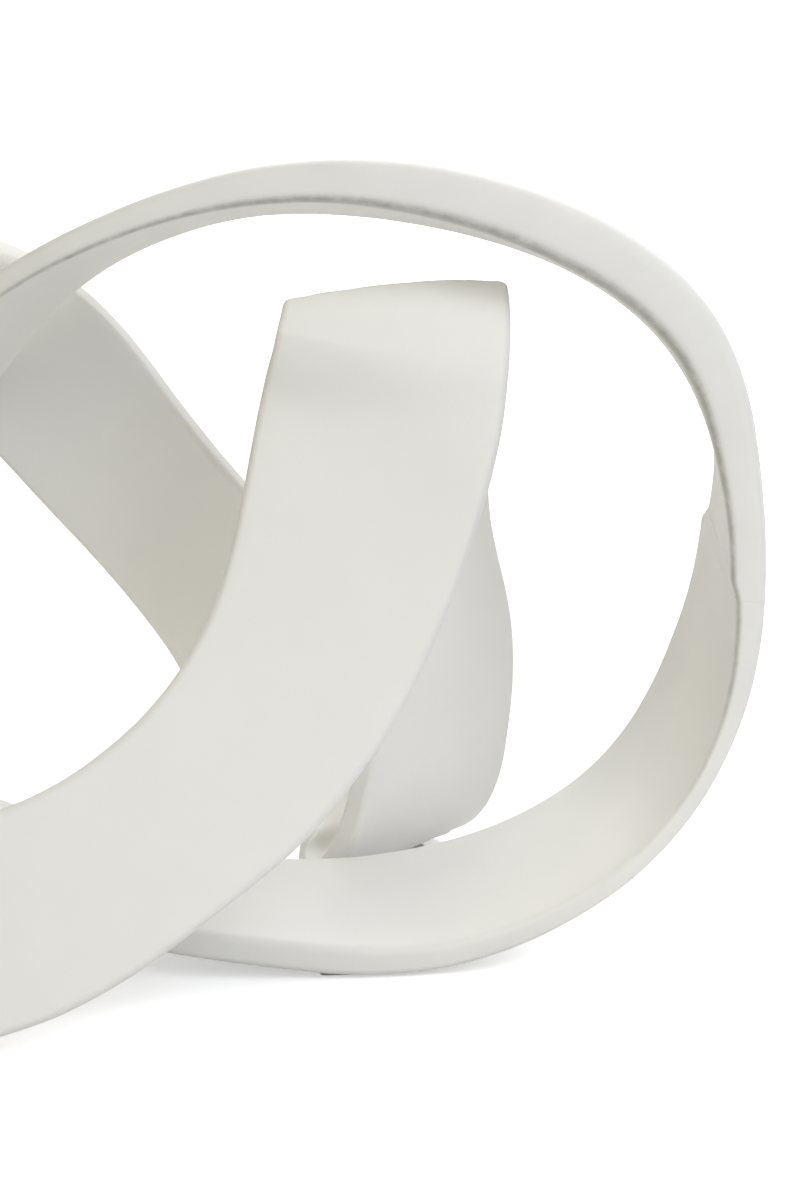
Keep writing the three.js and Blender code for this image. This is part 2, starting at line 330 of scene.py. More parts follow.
@dataclass(frozen=True)
class Station:
    """One place that the band's line runs through.

    Attributes:
        centre: Middle of the band, in millimetres.
        across: Direction across the band, towards its far edge.
        thicker: Its thickness there as a multiple of the plain band's.
        wider: Its width there as a multiple of the plain band's.
        dome: How far its middle is domed, in millimetres.
    """

    centre: Triple
    across: Triple
    thicker: float = 1.0
    wider: float = 1.0
    dome: float = 0.0


STATIONS: tuple[Station, ...] = (
    # back strand, falling behind everything from upper left to lower right
    Station((-25.8, 41.6, 115.7), (0.69, -0.2, 0.69), 1, 0.9),
    Station((-8.6, 44.6, 95.2), (0.69, -0.22, 0.67), 1, 0.88),
    Station((7.8, 47.6, 74.1), (0.7, -0.12, 0.65), 1, 0.82),
    Station((22.3, 51, 52.8), (0.74, 0.2, 0.53), 1, 0.82),
    Station((33, 53.5, 29.5), (0.66, 0.6, 0.4), 1, 0.84),
    # tight curl on the table at the back
    Station((45, 52.8, 10.5), (0.45, 0.88, 0.15), 1, 0.9),
    Station((49.7, 48, 4.5), (0.56, 0.82, 0.03), 0.967),
    Station((55.5, 43, 10.5), (0.66, 0.75, -0.04)),
    # riser that climbs behind the front band
    Station((61.2, 41.5, 31), (0.66, 0.73, -0.17)),
    Station((61.1, 37.5, 52.5), (0.64, 0.74, -0.23)),
    Station((57, 31.5, 72.5), (0.66, 0.73, -0.19)),
    Station((53.7, 23.5, 92), (0.74, 0.66, -0.15)),
    Station((50.7, 16.5, 110.5), (0.87, 0.48, -0.06)),
    # fold over the top, tighter at its left edge than at its right
    Station((50.5, 12.5, 126), (0.93, 0.35, 0.12), 1, 1, 0.6),
    Station((53, 2, 132.9), (0.97, 0.2, 0.05), 1, 1.03, 1.3),
    Station((52.5, -8, 126), (0.99, 0.03, 0.05), 1, 1.07, 0.8),
    # front band, sweeping down to the left in front of everything
    Station((50.5, -10.5, 115.5), (0.99, -0.11, -0.03), 1.083, 1.105),
    Station((46, -16.5, 97), (0.96, -0.13, -0.23), 1.083, 1.07),
    Station((36.2, -28.5, 70.9), (0.91, -0.12, -0.4), 1, 0.975),
    Station((22, -39.5, 52), (0.77, -0.19, -0.61), 1, 0.92),
    Station((4.5, -49.3, 39.1), (0.58, -0.24, -0.77), 1, 0.89),
    Station((-14.9, -57.5, 29.5), (0.43, -0.26, -0.86), 1, 0.945),
    Station((-36, -62.5, 25), (0.22, -0.26, -0.94)),
    # left foot, standing on its edge, and the climb to the crown
    Station((-66, -61.5, 22.5), (0.06, -0.14, -0.99)),
    Station((-96, -45.5, 22.5), (-0.08, -0.02, -0.99)),
    Station((-115.9, -14.5, 25), (-0.2, 0.12, -0.97)),
    Station((-112.9, 19.5, 46), (-0.25, 0.5, -0.8)),
    Station((-87, 37.5, 74), (0.1, 0.75, -0.6)),
    Station((-52, 25.5, 102.5), (0.25, 0.85, -0.38)),
    Station((-18.5, 4.5, 137.3), (0.11, 0.9, -0.295), 0.77),
    # crown and right loop, seen edge on
    Station((15, 1.5, 154.1), (0.02, 0.94, -0.265), 1.05),
    Station((44, 1.5, 157.4), (0, 0.95, -0.268), 1.48),
    Station((86, 2.5, 147.7), (0.03, 0.97, -0.24), 1.93),
    Station((108.8, 3.5, 130.6), (0.03, 0.96, -0.245), 1.8),
    Station((119.7, 4.5, 108.5), (0.08, 0.96, -0.29), 1.4),
    Station((121.9, 4.5, 89), (-0.05, 0.95, -0.29), 1.1),
    Station((115.2, 5.5, 53), (-0.3, 0.91, -0.24), 0.73),
    Station((97, 4.5, 24.8), (-0.26, 0.96, 0.03), 0.72),
    Station((60, 1.5, 7.5), (0, 0.99, 0.16)),
    Station((26, -1.3, 7.6), (0.06, 0.98, 0.04), 1.1),
    # under the front band and up to the crest at the left
    Station((-5, -4.5, 14.8), (0.1, 0.98, 0)),
    Station((-29.5, -11.5, 27.5), (0.09, 0.97, -0.2)),
    Station((-60, -27.5, 56.5), (0, 0.96, -0.29)),
    Station((-87, -23.5, 93), (-0.1, 0.85, -0.47)),
    Station((-88, 2.5, 122), (-0.1, 0.8, -0.56), 1, 0.977),
    Station((-62, 29.5, 132.8), (-0.2, 0.7, -0.63), 1, 0.92),
)


@dataclass(frozen=True)
class Places:
    """The band's own axes and section sizes at places along its line, one row for each place."""

    centre: np.ndarray
    along: np.ndarray
    across: np.ndarray
    square: np.ndarray
    width: np.ndarray
    thickness: np.ndarray
    dome: np.ndarray


@dataclass(frozen=True)
class KnotLine:
    """The closed line of the band with its steered cross direction.

    Attributes:
        band_width: Width of the plain band.
        band_thickness: Thickness of the plain band.
        span_power: How strongly the distance between stations sets the parameter.
        nudge: Part of a station's span over which the direction along the band is taken.
        samples: Places at which the bend and twist of a length are measured.
    """

    band_width: float = 43 * MM
    band_thickness: float = 6 * MM
    span_power: float = 0.8
    nudge: float = 1e-3
    samples: int = 800

    def curves(self) -> tuple[ClosedCubic, ClosedCubic, ClosedCubic]:
        """Lays the smooth curves through the stations.

        Returns:
            The curves of the centre, the cross direction and the section sizes.
        """
        centres = np.array([s.centre for s in STATIONS]) * MM
        across = np.array([Vector(s.across).normalized() for s in STATIONS])
        width, thickness = self.band_width, self.band_thickness
        sizes = np.array([(s.wider * width, s.thicker * thickness, s.dome * MM) for s in STATIONS])
        steps = np.linalg.norm(np.roll(centres, -1, axis=0) - centres, axis=1)
        spans = (steps / MM) ** self.span_power
        return ClosedCubic(centres, spans, 1), ClosedCubic(across, spans, -1), ClosedCubic(sizes, spans, 1)

    def at(self, places: np.ndarray) -> Places:
        """Gives the band's axes and sizes.

        Args:
            places: Station numbers with fractions.

        Returns:
            The axes and sizes at these places.
        """
        centre, cross, size = self.curves()
        along = centre.at(places + self.nudge) - centre.at(places - self.nudge)
        along /= np.linalg.norm(along, axis=1)[:, None]
        across = cross.at(places)
        across -= along * np.sum(across * along, axis=1)[:, None]
        across /= np.linalg.norm(across, axis=1)[:, None]
        return Places(centre.at(places), along, across, np.cross(along, across), *size.at(places).T)

    def rings(self, start: float, stop: float, spacing: float, turn: float) -> np.ndarray:
        """Spreads rings over a length, closer together where the band bends or twists.

        Args:
            start: Place where the length starts.
            stop: Place where it stops.
            spacing: Distance between rings on a straight run.
            turn: Angle of bend and twist that also makes a ring.

        Returns:
            The places of the rings.
        """
        fine = np.linspace(start, stop, self.samples)
        here = self.at(fine)
        turning = steps_of(here.along) + steps_of(here.across)
        count = running(steps_of(here.centre) / spacing + turning / turn)
        return np.interp(np.linspace(0, count[-1], math.ceil(count[-1]) + 1), count, fine)


def mesh_piece(name: str, mesh: bpy.types.Mesh) -> bpy.types.Object:
    """Puts a mesh into the scene as an object at the origin.

    Args:
        name: Name of the object.
        mesh: Its mesh.

    Returns:
        The object.
    """
    piece = bpy.data.objects.new(name, mesh)
    bpy.context.scene.collection.objects.link(piece)
    return piece


def wire_piece(
    name: str,
    points: Sequence[Sequence[float]],
    edges: Sequence[tuple[int, int]],
    marks: Mapping[str, np.ndarray],
) -> bpy.types.Object:
    """Makes points, joined or single, that carry values for a Geometry Nodes tree.

    Args:
        name: Name of the object and its mesh.
        points: The points.
        edges: The pairs of points that are joined.
        marks: One number or one vector for each point, by name.

    Returns:
        The object.
    """
    mesh = bpy.data.meshes.new(name)
    mesh.from_pydata(points, edges, [])
    for mark, values in marks.items():
        kind, key = ("FLOAT_VECTOR", "vector") if values.ndim == 2 else ("FLOAT", "value")
        attribute = mesh.attributes.new(mark, kind, "POINT")
        attribute.data.foreach_set(key, values.astype(np.float32).ravel())
    return mesh_piece(name, mesh)


def mesh_from(work: bmesh.types.BMesh, name: str) -> bpy.types.Mesh:
    """Keeps a mesh in work as a mesh of the scene.

    Args:
        work: The mesh in work, which is freed.
        name: Name of the mesh.

    Returns:
        The mesh.
    """
    mesh = bpy.data.meshes.new(name)
    work.to_mesh(mesh)
    work.free()
    return mesh


def discard(piece: bpy.types.Object) -> None:
    """Deletes an object with its mesh.

    Args:
        piece: The object.
    """
    mesh = piece.data
    bpy.data.objects.remove(piece)
    bpy.data.meshes.remove(mesh)


def run_tree(
    tree: bpy.types.NodeTree, source: bpy.types.Object, values: Mapping, name: str
) -> bpy.types.Object:
    """Runs a Geometry Nodes tree on an object and keeps the result as a plain mesh.

    Args:
        tree: The tree.
        source: The object that the tree starts from, which is deleted afterwards.
        values: Values of the tree's named inputs.
        name: Name of the finished piece.

    Returns:
        The finished piece.
    """
    modifier = source.modifiers.new("made", "NODES")
    modifier.node_group = tree
    for item in tree.interface.items_tree:
        if item.item_type == "SOCKET" and item.in_out == "INPUT" and item.name in values:
            modifier[item.identifier] = values[item.name]
    source.update_tag()
    graph = bpy.context.evaluated_depsgraph_get()
    graph.update()
    mesh = bpy.data.meshes.new_from_object(source.evaluated_get(graph), depsgraph=graph)
    source.modifiers.remove(modifier)
    discard(source)
    mesh.name = name
    return mesh_piece(name, mesh)


def finish_mesh(mesh: bpy.types.Mesh, keep: tuple[str, ...], sharp: float) -> None:
    """Turns the faces outwards, shades them smooth and drops the values that only the tree needed.

    Args:
        mesh: The mesh to finish.
        keep: Names of the values that its material reads.
        sharp: Angle past which an edge stays sharp.
    """
    work = bmesh.new()
    work.from_mesh(mesh)
    bmesh.ops.recalc_face_normals(work, faces=work.faces)
    work.to_mesh(mesh)
    work.free()
    spare = [a.name for a in mesh.attributes if not a.is_internal and not a.is_required]
    for name in spare:
        if name not in keep and name not in MESH_MARKS:
            mesh.attributes.remove(mesh.attributes[name])
    mesh.shade_smooth()
    mesh.set_sharp_from_angle(angle=sharp)


class GrainGroup:
    """Shader group that gives fine grain and broad mottling from a place on the piece."""

    NAME = "grain_and_mottle"
    NOISES = {
        "Grain": {"Detail": 4.0, "Roughness": 0.6},
        "Mottle": {"Detail": 3.0, "Roughness": 0.55},
    }

    @classmethod
    def tree(cls) -> bpy.types.NodeTree:
        """Gives the group, made on first use.

        Returns:
            The group's tree.
        """
        if cls.NAME in bpy.data.node_groups:
            return bpy.data.node_groups[cls.NAME]
        given = {"Place": "Vector", "Grain Scale": "Float", "Mottle Scale": "Float"}
        desk = new_group(cls.NAME, "ShaderNodeTree", given, dict.fromkeys(cls.NOISES, "Float"))
        inputs = desk.add("NodeGroupInput").outputs
        made = {}
        for name, look in cls.NOISES.items():
            sockets = {"Vector": inputs["Place"], "Scale": inputs[f"{name} Scale"]} | look
            made[name] = desk.get("ShaderNodeTexNoise", sockets)
        desk.add("NodeGroupOutput", made)
        return desk.tree

    @classmethod
    def on(cls, desk: NodeDesk, grain: float, mottle: float) -> Outputs:
        """Places the group in a material.

        Args:
            desk: The material's desk.
            grain: Grains for each metre.
            mottle: Mottled spots for each metre.

        Returns:
            The group's outputs.
        """
        place = desk.get("ShaderNodeTexCoord", output="Object")
        sockets = {"Place": place, "Grain Scale": grain, "Mottle Scale": mottle}
        return desk.add("ShaderNodeGroup", sockets, node_tree=cls.tree()).outputs


@dataclass(frozen=True)
class Finish:
    """What the finishes have in common: two colours, a fine grain and a broad mottling.

    Attributes:
        name: Name of the material.
        light: Colour of the cleanest places.
        dull: Colour of the mottled places.
        grain: Grains for each metre.
        mottle: Mottled spots for each metre.
        depth: Height of the grain.
        relief: How strongly the grain shows.
        roughness: Roughness at its lowest and highest.
    """

    name: str
    light: Colour
    dull: Colour
    grain: float
    mottle: float
    depth: float
    relief: float
    roughness: Pair

    def sockets(self, desk: NodeDesk, noise: Outputs) -> dict[str, object]:
        """Works out what the surface shader is given.

        Args:
            desk: The material's desk.
            noise: Outputs of the grain group.

        Returns:
            Values or links for the shader's inputs, by name.
        """
        return {
            "Base Color": desk.blend(noise["Mottle"], self.light, self.dull),
            "Roughness": desk.ramp(noise["Grain"], *self.roughness),
            "Normal": desk.bump(noise["Grain"], self.depth, self.relief),
        }

    def build(self) -> bpy.types.Material:
        """Makes the material.

        Returns:
            The finished material.
        """
        material = bpy.data.materials.new(self.name)
        desk = cleared(material)
        desk.surface(self.sockets(desk, GrainGroup.on(desk, self.grain, self.mottle)))
        return material


@dataclass(frozen=True)
class BandFinish(Finish):
    """Matt white cast resin, sanded by hand.

    Attributes:
        handled: Colour that the rims take from handling.
        wear: Share of that colour on a rim, between spots and on them.
        dusty: Colour of the painted shade along the inner corner of the near edge.
        specks: Specks that break up the painted shade, for each metre.
        cover: Share of the painted shade's colour, between specks and on them.
        specular: Level of the gloss.
    """

    name: str = "matt_white_resin"
    light: Colour = (0.83, 0.822, 0.795, 1.0)
    dull: Colour = (0.79, 0.782, 0.75, 1.0)
    grain: float = 2600.0
    mottle: float = 55.0
    depth: float = 0.05 * MM
    relief: float = 0.6
    roughness: Pair = (0.52, 0.68)
    handled: Colour = (0.72, 0.712, 0.685, 1.0)
    wear: Pair = (0.0, 0.7)
    # Painted shade: a dark colour laid on the inner corner of the near edge
    dusty: Colour = (0.4, 0.395, 0.37, 1.0)
    specks: float = 380.0
    cover: Pair = (0.1, 1.4)
    specular: float = 0.35

    def sockets(self, desk: NodeDesk, noise: Outputs) -> dict[str, object]:
        """Adds handled rims and a painted shade along the inner corner of the near edge to the plain
        surface.

        Args:
            desk: The material's desk.
            noise: Outputs of the grain group.

        Returns:
            Values or links for the shader's inputs, by name.
        """
        plain = super().sockets(desk, noise)
        rim, inner, dusty = (desk.mark(name) for name in BAND_MARKS)
        worn = rim * desk.ramp(noise["Mottle"], *self.wear)
        colour = desk.blend(worn, plain["Base Color"], self.handled)
        specks = desk.ramp(GrainGroup.on(desk, self.specks, self.mottle)["Grain"], *self.cover)
        # Painted shade: darkens the inner corner of the near edge, in specks, along the crown and the right
        # loop
        colour = desk.blend(inner * dusty * specks, colour, self.dusty)
        return plain | {"Base Color": colour, "Specular IOR Level": self.specular}


@dataclass(frozen=True)
class SteelFinish(Finish):
    """Plain drawn steel of the dowel pins."""

    name: str = "drawn_steel"
    light: Colour = (0.62, 0.63, 0.64, 1.0)
    dull: Colour = (0.5, 0.51, 0.52, 1.0)
    grain: float = 4200.0
    mottle: float = 420.0
    depth: float = 0.02 * MM
    relief: float = 0.5
    roughness: Pair = (0.24, 0.42)

    def sockets(self, desk: NodeDesk, noise: Outputs) -> dict[str, object]:
        """Makes the plain surface a metal."""
        return super().sockets(desk, noise) | {"Metallic": 1.0}


@dataclass(frozen=True)
class FeltFinish(Finish):
    """Pressed off-white felt of the pads, whose grain is its fibres.

    Attributes:
        sheen: Share of soft sheen.
    """

    name: str = "pressed_felt"
    light: Colour = (0.72, 0.71, 0.66, 1.0)
    dull: Colour = (0.52, 0.51, 0.47, 1.0)
    grain: float = 3800.0
    mottle: float = 900.0
    depth: float = 0.18 * MM
    relief: float = 0.8
    roughness: Pair = (0.88, 1.0)
    sheen: float = 0.35

    def sockets(self, desk: NodeDesk, noise: Outputs) -> dict[str, object]:
        """Works out a surface that is coloured by its fibres and has a nap.

        Args:
            desk: The material's desk.
            noise: Outputs of the grain group.

        Returns:
            Values or links for the shader's inputs, by name.
        """
        nap = desk.math("ADD", noise["Grain"], noise["Mottle"])
        return {
            "Base Color": desk.blend(noise["Grain"], self.light, self.dull),
            "Roughness": desk.ramp(noise["Mottle"], *self.roughness),
            "Normal": desk.bump(nap, self.depth, self.relief),
            "Sheen Weight": self.sheen,
        }


@dataclass(frozen=True)
class Length:
    """One cast length of the band.

    Attributes:
        name: Its name, which with band_ before it is the name of its solid.
        start: Place along the stations where it starts.
        slant: How far the joint at its start is moved along the band at the far edge.
        stepped: Whether the joint at its start is stepped.
    """

    name: str
    start: float
    slant: float = 0.0
    stepped: bool = False


LENGTHS: tuple[Length, ...] = (
    Length("foot_curl", 4.2),
    Length("back_riser", 8.5),
    Length("top_fold", 12.2),
    Length("front_fall", 16.6),
    Length("front_sweep", 19.3),
    Length("left_foot", 22.3),
    Length("left_turn", 25),
    Length("left_climb", 26.9),
    Length("crown", 29.4),
    Length("right_shoulder", 32.4),
    Length("right_fall", 35.2, slant=-3 * MM, stepped=True),
    Length("bottom_run", 37.5),
    Length("cross_rise", 40.2),
    Length("crest_rise", 42.4),
    Length("left_crest", 44.2),
    Length("back_strand", 45.6),
)


@dataclass(frozen=True)
class FeltPad:
    """One felt pad in its notch under the band.

    Attributes:
        node: Name of its solid.
        under: Name of the length that it sits in.
        place: Place along the stations.
        across: Distance from the middle of the band, as a share of its width.
        length: Its longer side.
        width: Its shorter side.
        follows: Whether its longer side runs along the band.
    """

    node: str
    under: str
    place: float
    across: float
    length: float
    width: float
    follows: bool = True


PADS: tuple[FeltPad, ...] = (
    FeltPad("pad_front", "left_foot", 23.2, 0.5, 15 * MM, 4.4 * MM),
    FeltPad("pad_left", "left_foot", 24.35, 0.5, 15 * MM, 4.4 * MM),
    FeltPad("pad_right", "bottom_run", 38.45, -0.39, 18 * MM, 4 * MM),
    FeltPad("pad_back", "foot_curl", 5.9, 0.0, 26 * MM, 6 * MM, follows=False),
)


@dataclass
class Pads:
    """The felt pads that the sculpture stands on.

    Attributes:
        line: The band's line.
        thickness: Thickness of the felt.
        corner: Radius of a pad's corners.
        corner_steps: Steps in the round of a corner.
        drawn_in: How far the felt stays in from the sides of its solid.
        soft_edge: How far the rims of the felt are rounded off.
        rim_steps: Steps in the round of a rim.
        clearance: Gap between a pad and its notch.
        cut_below: How far the block that cuts a notch reaches below the table.
        sharp: Angle past which an edge stays sharp.
    """

    line: KnotLine
    thickness: float = 1.6 * MM
    corner: float = 1.6 * MM
    corner_steps: int = 8
    drawn_in: float = 0.9 * MM
    soft_edge: float = 0.35 * MM
    rim_steps: int = 4
    clearance: float = 0.3 * MM
    cut_below: float = 5 * MM
    sharp: float = math.radians(60)

    def outline(self, pad: FeltPad, grow: float) -> list[Vector]:
        """Gives a pad's plan.

        Args:
            pad: The pad.
            grow: How much larger than the pad the plan is, all round.

        Returns:
            The corners of the plan, anticlockwise from above, at height 0.
        """
        here = self.line.at(np.array([pad.place]))
        spot = here.centre[0] + here.across[0] * pad.across * here.width[0]
        heading = here.along[0] if pad.follows else here.across[0]
        turn = Matrix.Rotation(math.atan2(heading[1], heading[0]), 3, "Z")
        radius = self.corner + grow
        points = []
        for side_x, side_y, first in CORNERS:
            middle_x = side_x * (pad.length / 2 - self.corner)
            middle_y = side_y * (pad.width / 2 - self.corner)
            for angle in quarter(first, self.corner_steps):
                point = Vector((middle_x + radius * math.cos(angle), middle_y + radius * math.sin(angle), 0))
                points.append(turn @ point + Vector((spot[0], spot[1], 0)))
        return points

    def stack(self, work: bmesh.types.BMesh, layers: list[tuple[list[Vector], float]]) -> None:
        """Adds a closed block made of outlines one above the other.

        Args:
            work: The mesh in work.
            layers: Outlines from the bottom up, each with its height.
        """
        rings = [[work.verts.new((p.x, p.y, height)) for p in points] for points, height in layers]
        count = len(rings[0])
        for low, high in zip(rings, rings[1:]):
            for k in range(count):
                work.faces.new((low[k], low[(k + 1) % count], high[(k + 1) % count], high[k]))
        work.faces.new(list(reversed(rings[0])))
        work.faces.new(rings[-1])

    def notch(self, work: bmesh.types.BMesh, pad: FeltPad) -> None:
        """Adds the block that cuts a pad's notch."""
        plan = self.outline(pad, self.clearance - self.drawn_in)
        self.stack(work, [(plan, -self.cut_below), (plan, self.thickness + self.clearance)])

    def build(self, finish: bpy.types.Material) -> list[bpy.types.Object]:
        """Makes the pads.

        Args:
            finish: Their material.

        Returns:
            The pads.
        """
        made = []
        for pad in PADS:
            layers = []
            for angle in quarter(0, self.rim_steps):
                inset = self.drawn_in + self.soft_edge * (1 - math.sin(angle))
                layers.append((self.outline(pad, -inset), self.soft_edge * (1 - math.cos(angle))))
            layers += [(plan, self.thickness - height) for plan, height in reversed(layers)]
            work = bmesh.new()
            self.stack(work, layers)
            mesh = mesh_from(work, f"felt_{pad.node}")
            finish_mesh(mesh, (), self.sharp)
            mesh.materials.append(finish)
            piece = mesh_piece(f"felt_{pad.node}", mesh)
            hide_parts(pad.node)
            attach(piece, BODY)
            made.append(piece)
        return made


@dataclass
class Dowels:
    """The steel pins in the joints.

    Attributes:
        line: The band's line.
        radius: Radius of a pin.
        length: Length of a pin.
        chamfer: Bevel at its ends.
        sides: Sides of its round.
        stations: Rings that make a pin: an end and a shoulder, twice.
        spread: Distance from the middle of the band, as a share of its width.
        clearance: Gap round a pin in its bore.
        sharp: Angle past which an edge stays sharp.
    """

    line: KnotLine
    radius: float = 1.0 * MM
    length: float = 13 * MM
    chamfer: float = 0.3 * MM
    sides: int = 28
    stations: int = 4
    spread: float = 0.27
    clearance: float = 0.25 * MM
    sharp: float = math.radians(30)

    def tree(self) -> bpy.types.NodeTree:
        """Builds the tree that sets a chamfered pin on every point, along the point's own direction.

        Returns:
            The tree.
        """
        sizes = ("Radius", "Length", "Chamfer")
        given = {"Geometry": "Geometry"} | dict.fromkeys(sizes, "Float")
        given |= {"Sides": "Int", "Finish": "Material"}
        desk = new_group("dowel_pins", "GeometryNodeTree", given, {"Geometry": "Geometry"})
        inputs = desk.add("NodeGroupInput").outputs
        radius, length, chamfer = (Number(desk, inputs[name]) for name in sizes)
        # The first and the last ring are the pin's ends, and the two between are its shoulders
        last = self.stations - 1
        index = desk.get("GeometryNodeInputIndex")
        is_end = desk.math("LESS_THAN", desk.math("MODULO", index, last), 0.5)
        end_sign = desk.ramp(desk.math("GREATER_THAN", index, last / 2), -1.0, 1.0)
        height = (length * 0.5 - (1.0 - is_end) * chamfer) * end_sign
        rows = desk.get("GeometryNodeCurvePrimitiveLine")
        rows = desk.get("GeometryNodeResampleCurve", {"Curve": rows, "Count": self.stations})
        place = desk.get("ShaderNodeCombineXYZ", {"Z": height})
        rows = desk.get("GeometryNodeSetPosition", {"Geometry": rows, "Position": place})
        ring = desk.get("GeometryNodeCurvePrimitiveCircle", {"Resolution": inputs["Sides"], "Radius": 1.0})
        width = radius - is_end * chamfer
        sockets = {"Curve": rows, "Profile Curve": ring, "Scale": width, "Fill Caps": True}
        pin = desk.get("GeometryNodeCurveToMesh", sockets)
        turned = desk.get("FunctionNodeAlignRotationToVector", {"Vector": desk.arrow("along")}, axis="Z")
        sockets = {"Points": inputs["Geometry"], "Instance": pin, "Rotation": turned}
        desk.dress(desk.get("GeometryNodeInstanceOnPoints", sockets), inputs["Finish"])
        return desk.tree

    def seat(self, joint: Length, edge: Edge) -> tuple[Vector, Vector]:
        """Gives the middle and the direction of one pin.

        Args:
            joint: The length that starts at the pin's joint.
            edge: The edge that the pin is nearer to.

        Returns:
            The middle of the pin and its direction.
        """
        here = self.line.at(np.array([joint.start]))
        reach = edge.value * self.spread * here.width[0]
        shift = joint.slant * reach / (here.width[0] / 2)
        middle = here.centre[0] + here.across[0] * reach + here.along[0] * shift
        return Vector(middle), Vector(here.along[0])

    def bore(self, work: bmesh.types.BMesh, joint: Length, edge: Edge) -> None:
        """Adds the round block that cuts a pin's bore.

        Args:
            work: The mesh in work.
            joint: The length that starts at the pin's joint.
            edge: The edge that the pin is nearer to.
        """
        middle, along = self.seat(joint, edge)
        turn = along.to_track_quat("Z", "Y").to_matrix().to_4x4()
        bmesh.ops.create_cone(
            work,
            cap_ends=True,
            segments=self.sides,
            radius1=self.radius + self.clearance,
            radius2=self.radius + self.clearance,
            depth=self.length + 2 * self.clearance,
            matrix=Matrix.Translation(middle) @ turn,
        )

    def build(self, finish: bpy.types.Material) -> list[bpy.types.Object]:
        """Makes the pins.

        Args:
            finish: Their material.

        Returns:
            The pins.
        """
        tree = self.tree()
        values = {
            "Radius": self.radius,
            "Length": self.length,
            "Chamfer": self.chamfer,
            "Sides": self.sides,
            "Finish": finish,
        }
        made = []
        for joint in LENGTHS:
            for edge in Edge:
                middle, along = self.seat(joint, edge)
                seat = wire_piece("pin_seat", [middle], [], {"along": np.array([along])})
                name = f"{joint.name}_{edge.name.lower()}"
                node = f"dowel_{name}"
                piece = run_tree(tree, seat, values, f"pin_{name}")
                finish_mesh(piece.data, (), self.sharp)
                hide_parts(node)
                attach(piece, BODY)
                made.append(piece)
        return made


